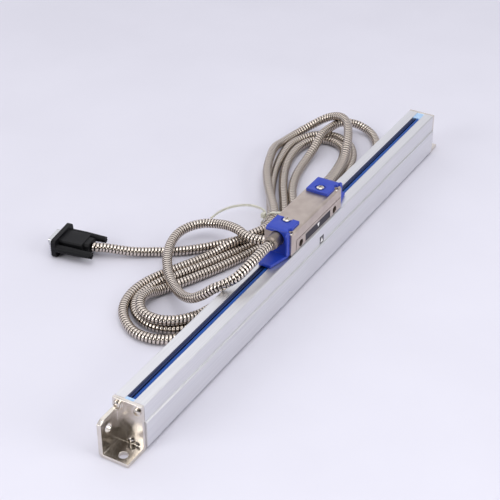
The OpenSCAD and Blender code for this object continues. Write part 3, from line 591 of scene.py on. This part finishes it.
def smooth_path(points, step):
    """Points every step metres along the smooth curve through the route's points, and the curve's
    length."""
    route = np.array(points, float) * MM
    ends = np.vstack([2 * route[0] - route[1], route, 2 * route[-1] - route[-2]])
    t = np.linspace(0, 1, CURVE_POINTS, endpoint=False)[:, None]
    spans = []
    for a, b, c, d in zip(ends, ends[1:], ends[2:], ends[3:]):
        square, cube = 2 * a - 5 * b + 4 * c - d, 3 * b - a - 3 * c + d
        spans.append(0.5 * (2 * b + (c - a) * t + square * t**2 + cube * t**3))
    dense = np.vstack(spans + [route[-1:]])
    dense[:, 2] = np.maximum(dense[:, 2], LOWEST_MIDDLE)
    along = np.concatenate([[0], np.cumsum(np.linalg.norm(np.diff(dense, axis=0), axis=1))])
    stops = np.linspace(0, along[-1], int(round(along[-1] / step)) + 1)
    return np.stack([np.interp(stops, along, dense[:, k]) for k in range(3)], axis=1), along[-1]


def wound_strip(path, length, material):
    """A tube whose wall is a strip wound in a helix along a path, with a seam between turns. Its
    seam attribute is 1 at the bottom of the seam and 0 on the crest."""
    bands = len(STRIP_PROFILE)
    inside = ROUTE_STEP * np.arange(round(ARMOUR_INSIDE / ROUTE_STEP), 0, -1)[:, None]
    out_of_start, out_of_end = path[0] - path[1], path[-1] - path[-2]
    centre = np.vstack([
        path[0] + inside * out_of_start / np.linalg.norm(out_of_start),
        path,
        path[-1] + inside[::-1] * out_of_end / np.linalg.norm(out_of_end),
    ])
    whole = length + 2 * ARMOUR_INSIDE
    stops = np.linspace(0, whole, len(centre))
    ahead = np.gradient(centre, axis=0)
    ahead /= np.linalg.norm(ahead, axis=1)[:, None]
    side = np.cross(ahead, [0, 0, 1])
    side /= np.linalg.norm(side, axis=1)[:, None]
    up = np.cross(side, ahead)
    steps = (int(whole / ARMOUR_PITCH) - 1) * ARMOUR_SIDES

    # One row of vertices for each step round the helix, and one column for each band of the strip
    step = np.arange(steps + 1)[:, None]
    band = np.arange(bands)[None, :]
    place = ARMOUR_PITCH * (step / ARMOUR_SIDES + band / bands)
    place = place * (whole / place.max())
    angle = np.broadcast_to(2 * np.pi * step / ARMOUR_SIDES, place.shape)[..., None]
    depth = np.broadcast_to(np.array(STRIP_PROFILE), place.shape)

    def at_place(rows):
        return np.stack([np.interp(place, stops, row) for row in rows.T], axis=-1)

    outward = np.cos(angle) * at_place(side) + np.sin(angle) * at_place(up)
    radius = (CREST_RADIUS - depth * SEAM_DEPTH)[..., None]
    verts = (at_place(centre) + radius * outward).reshape(-1, 3)

    # The last band of a turn meets the first band of the next one
    number = step * bands + band
    following = np.where(band < bands - 1, number + 1, number - band + ARMOUR_SIDES * bands)
    last = steps + 1 - ARMOUR_SIDES
    corners = [number[: last - 1], following[: last - 1], following[1:last], number[1:last]]
    faces = np.stack(corners, axis=-1).reshape(-1, 4).tolist()
    # Each end is closed round one turn and down the step where the strip begins or stops
    turn = [k * bands for k in range(ARMOUR_SIDES + 1)] + list(range(bands - 1, -1, -1))
    end_turn = [(steps - ARMOUR_SIDES) * bands + k for k in turn]
    hub = len(verts)
    faces += [[hub, a, b] for a, b in zip(turn[:-1], turn[1:])]
    faces += [[hub + 1, b, a] for a, b in zip(end_turn[:-1], end_turn[1:])]
    points = np.vstack([verts, centre[:1], centre[-1:]])
    made = link_mesh("armoured_cable", points.tolist(), faces, material, smooth=True)
    seam = made.data.attributes.new("seam", "FLOAT", "POINT")
    seam.data.foreach_set("value", np.append(depth.reshape(-1), [1, 1]).astype(np.float32))
    made.data.update()
    return made


def armoured_cable(material, carried):
    """The cable from the gland to the plug, as a wound armour tube. The carried pieces are not
    used.
    """
    path, length = smooth_path(CABLE_ROUTE, ROUTE_STEP)
    cable = wound_strip(path, length, material)
    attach(cable, "head")
    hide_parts("cable_loop", "cable_hank", "cable_tail")


# ---- Cable tie ---------------------------------------------------------------------------------

TIE_X = 48 * MM
TIE_THICK = 0.9 * MM
TIE_WIDTH = 2.6 * MM
TAIL_WIDTH = 2.2 * MM
# The strap's middle runs this far outside the middle of the outer turns
TIE_REACH = 4.9 * MM
TIE_LOWEST = 0.5 * MM
# Points of the strap round each turn of the cable
ROUND_POINTS = 24
TAIL_STEP = 1 * MM
# The bundle lies between these under the tie, from front to back, and counts this far either side
# of the tie
BUNDLE_FRONT, BUNDLE_BACK = 15 * MM, 62 * MM
BUNDLE_SLICE = 1 * MM
# Two corners of the lock, in millimetres, and the radius on its edges
TIE_LOCK = ((46.9, 55.0, 9.1), (51.5, 58.2, 13.3))
LOCK_ROUNDING = 0.704 * MM
# Across the strap, in shares of its width and thickness
STRAP_SECTION = [
    (-0.5, -0.25), (-0.4, -0.5), (0.4, -0.5), (0.5, -0.25),
    (0.5, 0.25), (0.4, 0.5), (-0.4, 0.5), (-0.5, 0.25),
]
# The free end beyond the lock, which curls round to the left, in millimetres
TIE_TAIL = [
    (50, 55.5, 11.5), (54.5, 58, 11), (58, 63, 10.3), (59.6, 71, 9.8), (57.2, 79, 9.6),
    (50.5, 86, 9.6), (43, 90, 9.6), (36, 92.2, 9.2), (27, 93.4, 8.2),
]


def round_the_bundle(centre):
    """The outline, in Y and Z, that lies round every turn of the cable where it passes the tie."""
    near = centre[np.abs(centre[:, 0] - TIE_X) < BUNDLE_SLICE]
    near = near[(near[:, 1] > BUNDLE_FRONT) & (near[:, 1] < BUNDLE_BACK)]
    circle = np.linspace(0, 2 * np.pi, ROUND_POINTS, endpoint=False)
    ring = np.stack([np.cos(circle), np.sin(circle)], axis=1) * TIE_REACH
    spots = (near[:, None, 1:] + ring[None]).reshape(-1, 2)
    spots[:, 1] = np.maximum(spots[:, 1], TIE_LOWEST)
    spots = spots[np.lexsort((spots[:, 1], spots[:, 0]))]
    halves = []
    for order in (spots, spots[::-1]):
        half = []
        for spot in order:
            while len(half) > 1 and np.cross(half[-1] - half[-2], spot - half[-1]) <= 0:
                half.pop()
            half.append(spot)
        halves += half[:-1]
    return np.array(halves)


def strap(name, middle, across, width, material, closed):
    """A flat band along a line of points, with rounded edges. Across is the direction of its
    width."""
    middle = np.asarray(middle)
    rows = len(middle)
    if closed:
        ahead = np.roll(middle, -1, axis=0) - np.roll(middle, 1, axis=0)
    else:
        ahead = np.gradient(middle, axis=0)
    ahead /= np.linalg.norm(ahead, axis=1)[:, None]
    across = np.broadcast_to(np.asarray(across, float), ahead.shape)
    out = np.cross(ahead, across)
    out /= np.linalg.norm(out, axis=1)[:, None]
    sides = len(STRAP_SECTION)
    verts = [
        middle[i] + width * a * across[i] + TIE_THICK * b * out[i]
        for i in range(rows) for a, b in STRAP_SECTION
    ]
    faces = []
    for i in range(rows if closed else rows - 1):
        here, following = i * sides, (i + 1) % rows * sides
        faces += [
            (here + k, here + (k + 1) % sides, following + (k + 1) % sides, following + k)
            for k in range(sides)
        ]
    if not closed:
        faces += [tuple(range(sides)), tuple(range((rows - 1) * sides, rows * sides))]
    return facing_out(link_mesh(name, verts, faces, material, smooth=True))


def cable_tie(material):
    """Strap round the bundle, lock, and the long free end."""
    loop = round_the_bundle(smooth_path(CABLE_ROUTE, ROUTE_STEP)[0])
    ring = np.column_stack([np.full(len(loop), TIE_X), loop])
    tail, _ = smooth_path(TIE_TAIL, TAIL_STEP)
    pieces = [
        strap("tie_strap", ring, (1, 0, 0), TIE_WIDTH, material, closed=True),
        strap("tie_tail", tail, (0, 0, 1), TAIL_WIDTH, material, closed=False),
        block("tie_lock", *TIE_LOCK, material, LOCK_ROUNDING),
    ]
    whole = joined("nylon_tie", pieces, material)
    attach(whole, "head")
    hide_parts("cable_tie")
    return whole


# ---- Printed marks -----------------------------------------------------------------------------

# The label's triangle: half its width, half its height, how far its tip leans, how far right of the
# label's middle it stands, and how thick its ink is
TRIANGLE_HALF, TRIANGLE_TALL = 1.9 * MM, 1.8 * MM
TIP_LEAN = 0.2 * MM
TRIANGLE_RIGHT = 0.7 * MM
INK_THICK = 0.05 * MM
# The mark on the housing: half a side of the square and of its triangle, their heights, and a place
# in front of its middle in millimetres
SQUARE_HALF, WEDGE_HALF = 3.2 * MM, 2.1 * MM
SQUARE_THICK, WEDGE_THICK = 0.04 * MM, 0.08 * MM
BEFORE_MARK = (20.2, -40, 26.2)
# Across, up and out of the front of the scale
FRONT_AXES = ((1, 0, 0), (0, 0, 1), (0, -1, 0))


def label_triangle(material):
    """A plain index triangle that points down, in the middle of the head's label."""
    low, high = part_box("head_label")
    centre = ((low.x + high.x) / 2 + TRIANGLE_RIGHT, low.y, (low.z + high.z) / 2)
    outline = [
        (-TRIANGLE_HALF, TRIANGLE_TALL), (TRIANGLE_HALF, TRIANGLE_TALL), (TIP_LEAN, -TRIANGLE_TALL),
    ]
    mark = extruded("index_triangle", outline, centre, FRONT_AXES, INK_THICK, material)
    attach(mark, "head")


def reference_mark(ink, paper):
    """A small dark square with a white triangle that points up, on the housing under the label."""
    _, place, _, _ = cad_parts["housing"].ray_cast(Vector(BEFORE_MARK) * MM, Vector((0, 1, 0)))
    square = [(-1, -1), (1, -1), (1, 1), (-1, 1)]
    wedge = [(-1, -1), (1, -1), (0, 1)]
    layers = [
        ("reference_square", square, SQUARE_HALF, SQUARE_THICK, ink),
        ("reference_wedge", wedge, WEDGE_HALF, WEDGE_THICK, paper),
    ]
    for name, corners, half, thick, material in layers:
        outline = [(a * half, b * half) for a, b in corners]
        layer = extruded(name, outline, place, FRONT_AXES, thick, material)
        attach(layer, "scale")


# ---- Screws ------------------------------------------------------------------------------------

# Each way into the screws' node group, with its kind
SCREW_INPUTS = {
    "Places": "NodeSocketGeometry",
    "Head Height": "NodeSocketFloat",
    "Dome": "NodeSocketFloat",
    "Recess Width": "NodeSocketFloat",
    "Recess Reach": "NodeSocketFloat",
    "Turn Seed": "NodeSocketInt",
    "Finish": "NodeSocketMaterial",
}
# The bars that cut the recess stand this far above the head's middle, in head diameters
RECESS_HEIGHT = 0.16
# Edges of a screw's head that turn more than this stay hard, in radians
HARD_EDGE = 0.7


def screw_head(tree, given):
    """Adds a pan head, one unit across and seated on the origin, with its cross recess."""
    # A drum whose upper rings are pulled into a dome
    drum = add(
        tree, "GeometryNodeMeshCylinder",
        {
            "Vertices": 28, "Side Segments": 4, "Fill Segments": 6, "Radius": 0.5,
            "Depth": given["Head Height"],
        },
    )
    spot = add(tree, "GeometryNodeInputPosition").outputs[0]
    parts = add(tree, "ShaderNodeSeparateXYZ", {0: spot}).outputs
    flat = add(tree, "ShaderNodeCombineXYZ", {"X": parts["X"], "Y": parts["Y"]})
    radius = add(tree, "ShaderNodeVectorMath", {0: flat.outputs[0]}, operation="LENGTH")
    share = add(tree, "ShaderNodeMath", {0: radius.outputs["Value"], 1: 2.0}, operation="MULTIPLY")
    bend = add(tree, "ShaderNodeMath", {0: share.outputs[0], 1: 3.0}, operation="POWER")
    half = add(tree, "ShaderNodeMath", {0: given["Head Height"], 1: 0.5}, operation="MULTIPLY")
    upper = add(
        tree, "ShaderNodeMath", {0: parts["Z"], 1: half.outputs[0]}, operation="DIVIDE",
        use_clamp=True,
    )
    sink = add(
        tree, "ShaderNodeMath", {0: bend.outputs[0], 1: given["Dome"]}, operation="MULTIPLY"
    )
    sink = add(
        tree, "ShaderNodeMath", {0: sink.outputs[0], 1: upper.outputs[0]}, operation="MULTIPLY"
    )
    lower = add(tree, "ShaderNodeMath", {0: sink.outputs[0], 1: -1.0}, operation="MULTIPLY")
    shift = add(tree, "ShaderNodeCombineXYZ", {"Z": lower.outputs[0]})
    domed = add(
        tree, "GeometryNodeSetPosition",
        {"Geometry": drum.outputs["Mesh"], "Offset": shift.outputs[0]},
    )
    # The recess: two crossed bars cut from the top
    head = add(
        tree, "GeometryNodeMeshBoolean",
        {"Mesh 1": domed.outputs["Geometry"]}, operation="DIFFERENCE", solver="EXACT",
    )
    for turn in (0.0, math.pi / 2):
        size = add(
            tree, "ShaderNodeCombineXYZ",
            {"X": given["Recess Reach"], "Y": given["Recess Width"], "Z": given["Head Height"]},
        )
        bar = add(tree, "GeometryNodeMeshCube", {"Size": size.outputs[0]})
        placed = add(
            tree, "GeometryNodeTransform",
            {
                "Geometry": bar.outputs["Mesh"], "Translation": (0, 0, RECESS_HEIGHT),
                "Rotation": (0, 0, turn),
            },
        )
        tree.links.new(placed.outputs["Geometry"], head.inputs["Mesh 2"])
    angle = add(tree, "GeometryNodeInputMeshEdgeAngle").outputs["Unsigned Angle"]
    hard = add(tree, "ShaderNodeMath", {0: angle, 1: HARD_EDGE}, operation="GREATER_THAN")
    smooth = add(
        tree, "GeometryNodeSetShadeSmooth", {0: head.outputs["Mesh"], "Shade Smooth": True}
    )
    creased = add(
        tree, "GeometryNodeSetShadeSmooth",
        {0: smooth.outputs[0], "Selection": hard.outputs[0], "Shade Smooth": False}, domain="EDGE",
    )
    lift = add(tree, "ShaderNodeCombineXYZ", {"Z": half.outputs[0]})
    return add(
        tree, "GeometryNodeTransform",
        {"Geometry": creased.outputs[0], "Translation": lift.outputs[0]},
    )


def screw_tree():
    """Geometry nodes: a pan-head cross-recess screw on every point, turned to the point's aim."""
    tree = bpy.data.node_groups.new("pan_head_screws", "GeometryNodeTree")
    for name, kind in SCREW_INPUTS.items():
        tree.interface.new_socket(name, in_out="INPUT", socket_type=kind)
    tree.interface.new_socket("Screws", in_out="OUTPUT", socket_type="NodeSocketGeometry")
    given = add(tree, "NodeGroupInput").outputs
    head = screw_head(tree, given)
    shank = add(tree, "GeometryNodeMeshCylinder", {"Vertices": 20, "Radius": 0.5, "Depth": 1.0})
    hung = add(
        tree, "GeometryNodeTransform",
        {"Geometry": shank.outputs["Mesh"], "Translation": (0, 0, -0.5)},
    )
    # One instance of each on every place, to its own sizes
    aim = add(tree, "GeometryNodeInputNamedAttribute", {"Name": "aim"}, data_type="FLOAT_VECTOR")
    across, thick, long = (
        add(tree, "GeometryNodeInputNamedAttribute", {"Name": name}, data_type="FLOAT")
        .outputs["Attribute"]
        for name in ("head", "shank", "reach")
    )
    facing = add(
        tree, "FunctionNodeAlignRotationToVector", {"Vector": aim.outputs["Attribute"]}, axis="Z"
    )
    chance = add(
        tree, "FunctionNodeRandomValue",
        {"Min": (0, 0, 0), "Max": (0, 0, math.pi / 2), "Seed": given["Turn Seed"]},
        data_type="FLOAT_VECTOR",
    )
    spin = add(tree, "FunctionNodeEulerToRotation", {0: chance.outputs["Value"]})
    turned = add(
        tree, "FunctionNodeRotateRotation",
        {"Rotation": facing.outputs[0], "Rotate By": spin.outputs[0]}, rotation_space="LOCAL",
    )
    rod = add(tree, "ShaderNodeCombineXYZ", {"X": thick, "Y": thick, "Z": long})
    points = add(tree, "GeometryNodeMeshToPoints", {"Mesh": given["Places"]})
    gathered = add(tree, "GeometryNodeJoinGeometry")
    for shape, scale in ((head, across), (hung, rod.outputs[0])):
        copies = add(
            tree, "GeometryNodeInstanceOnPoints",
            {
                "Points": points.outputs["Points"], "Instance": shape.outputs["Geometry"],
                "Rotation": turned.outputs[0], "Scale": scale,
            },
        )
        tree.links.new(copies.outputs["Instances"], gathered.inputs["Geometry"])
    real = add(tree, "GeometryNodeRealizeInstances", {"Geometry": gathered.outputs["Geometry"]})
    dressed = add(
        tree, "GeometryNodeSetMaterial",
        {"Geometry": real.outputs["Geometry"], "Material": given["Finish"]},
    )
    add(tree, "NodeGroupOutput", {"Screws": dressed.outputs["Geometry"]})
    return tree


def screws(name, body, slot, places, material, *nodes):
    """The screws of one body. Each place is a seat, an aim, a head diameter, a shank diameter and a
    shank length, in millimetres."""
    mesh = bpy.data.meshes.new(name)
    seats, aims, *sizes = zip(*places)
    mesh.from_pydata([[c * MM for c in seat] for seat in seats], [], [])
    aim_layer = mesh.attributes.new("aim", "FLOAT_VECTOR", "POINT")
    aim_layer.data.foreach_set("vector", np.ravel(aims).astype(np.float32))
    for key, values in zip(("head", "shank", "reach"), sizes):
        layer = mesh.attributes.new(key, "FLOAT", "POINT")
        layer.data.foreach_set("value", (np.array(values) * MM).astype(np.float32))
    maker = link(name + "_places", mesh)
    modifier = maker.modifiers.new("screws", "NODES")
    modifier.node_group = screw_tree()
    given = {**SCREW_PROPORTIONS, "Finish": material}
    for item in modifier.node_group.interface.items_tree:
        if item.in_out == "INPUT" and item.name in given:
            modifier[item.identifier] = given[item.name]
    evaluated = maker.evaluated_get(bpy.context.evaluated_depsgraph_get())
    made = link(name, bpy.data.meshes.new_from_object(evaluated))
    maker.modifiers.clear()
    bpy.data.objects.remove(maker)
    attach(made, body)
    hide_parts(*nodes)


# ---- Floor and lights --------------------------------------------------------------------------

# Half a side of the floor, in metres, which carries it past the horizon of a low view
FLOOR_HALF = 12.0
# Each lamp: where it stands, what it faces, its side in metres and its power in watts
SOFT_BOXES = {
    "top_box": ((-0.3, -0.25, 1.5), (-0.1, 0, 0), 1.3, 9),
    "left_box": ((-1.5, 0.8, 0.8), (-0.1, 0.05, 0), 1.0, 11),
    "back_box": ((0.6, 1.3, 1.1), (0, 0, 0), 1.2, 2),
    "front_box": ((0.15, -1.5, 0.6), (-0.1, 0, 0), 1.1, 12),
}
# The bright walls of the room lie this way
BRIGHT_WAY = Vector((0.6, 0.5, 0.62)).normalized()
WALL_STOPS = [(0.0, "#4A4643"), (0.7, "#E8E8EE")]


def soft_box(name, place, target, side, watts):
    """A square lamp that faces its target."""
    data = bpy.data.lights.new(name, "AREA")
    data.shape = "SQUARE"
    data.size = side
    data.energy = watts
    lamp = link(name, data)
    lamp.location = place
    aim = Vector(target) - Vector(place)
    lamp.rotation_euler = aim.to_track_quat("-Z", "Y").to_euler()


def make_floor(material):
    """The paper under the object."""
    half = FLOOR_HALF
    corners = [(-half, -half, 0), (half, -half, 0), (half, half, 0), (-half, half, 0)]
    link_mesh("floor", corners, [(0, 1, 2, 3)], material)


def make_lights():
    """The soft boxes, and a room that is bright behind the object and dim before it."""
    for name, (place, target, side, watts) in SOFT_BOXES.items():
        soft_box(name, place, target, side, watts)
    world = bpy.data.worlds.new("studio")
    world.use_nodes = True
    tree = world.node_tree
    place = add(tree, "ShaderNodeTexCoord")
    facing = add(
        tree, "ShaderNodeVectorMath", {0: place.outputs["Generated"], 1: BRIGHT_WAY},
        operation="DOT_PRODUCT",
    )
    walls = add(tree, "ShaderNodeValToRGB", {"Fac": facing.outputs["Value"]}, stops=WALL_STOPS)
    backdrop = tree.nodes["Background"]
    tree.links.new(walls.outputs["Color"], backdrop.inputs["Color"])
    backdrop.inputs["Strength"].default_value = 1.0
    scene.world = world


# ---- Build -------------------------------------------------------------------------------------

# Boxes to cut away, as two corners in millimetres. The curved wall round the near bracket's upper
# rear screw ends at the screw's height, and leaves its head in view
BRACKET_CUTS = [
    ((-244, 3, 27.5), (-226.6, 8.21, 37.5)),
    ((-244, 8.19, 28.78), (-224.79, 12.5, 37.5)),
    ((-244, 3, 34.9), (-224.79, 12.5, 37.5)),
]
# The seats of the head's small corner screws open to the front
SEAT_CUTS = [
    ((-28.1, -11.6, 55.79), (-24.7, -9.6, 57.4)),
    ((44.5, -11.6, 55.79), (47.9, -9.6, 57.4)),
]
# Radii on the edges
CASTING_ROUNDING = 0.35 * MM
MOULDING_ROUNDING = 0.25 * MM
HOOD_ROUNDING = 0.2 * MM

# In head diameters, and the seed of the screws' turns
SCREW_PROPORTIONS = {
    "Head Height": 0.336,
    "Dome": 0.13,
    "Recess Width": 0.15,
    "Recess Reach": 0.64,
    "Turn Seed": 5,
}
# Head diameter, shank diameter and shank length, in millimetres
END_SCREW = (5.4, 3, 10.8)
SHIP_SCREW = (5.8, 3, 6.5)
CORNER_SCREW = (3.2, 1.6, 2)
# Three screws through each end bracket's outer face, and four down into the head
END_PLACES = [
    ((x, y, z), (way, 0, 0), *END_SCREW)
    for x, way in ((-224.8, -1), (232.8, 1))
    for y, z in ((8, 32.2), (-8, 32.2), (-1.5, 5.7))
]
HEAD_PLACES = [
    (seat, (0, 0, 1), *size)
    for seat, size in (
        ((-15.2, 0, 58.8), SHIP_SCREW), ((38, 0, 58.8), SHIP_SCREW),
        ((-26.4, -9.6, 55.8), CORNER_SCREW), ((46.2, -9.6, 55.8), CORNER_SCREW),
    )
]

make_camera()
materials = dress_nodes()
hood = [
    finished_casting(
        node, "head", materials[black_hood_plastic], HOOD_ROUNDING
    )
    for node in ("hood_lower", "hood_upper")
]
armoured_cable(armour_steel(), [cable_tie(natural_nylon()), *hood])
make_floor(floor_paper())
make_lights()
for node, cuts in (("end_bracket_near", BRACKET_CUTS), ("end_bracket_far", ())):
    finished_casting(
        node, "scale", materials[plated_casting], CASTING_ROUNDING, cuts
    )
for node in ("ship_bracket_near", "ship_bracket_far"):
    finished_casting(
        node, "head", materials[blue_bracket_plastic], MOULDING_ROUNDING
    )
finished_casting(
    "head_body", "head", materials[satin_nickel], MOULDING_ROUNDING, SEAT_CUTS
)
screw_steel = materials[bright_screw_steel]
screws(
    "end_screws", "scale", "screw_steel", END_PLACES, screw_steel,
    "end_screws_near", "end_screws_far",
)
screws(
    "head_screws", "head", "screw_steel", HEAD_PLACES, screw_steel,
    "ship_screw_near", "ship_screw_far", "head_corner_screws",
)
white_ink = white_label_ink()
label_triangle(white_ink)
reference_mark(black_print_ink(), white_ink)
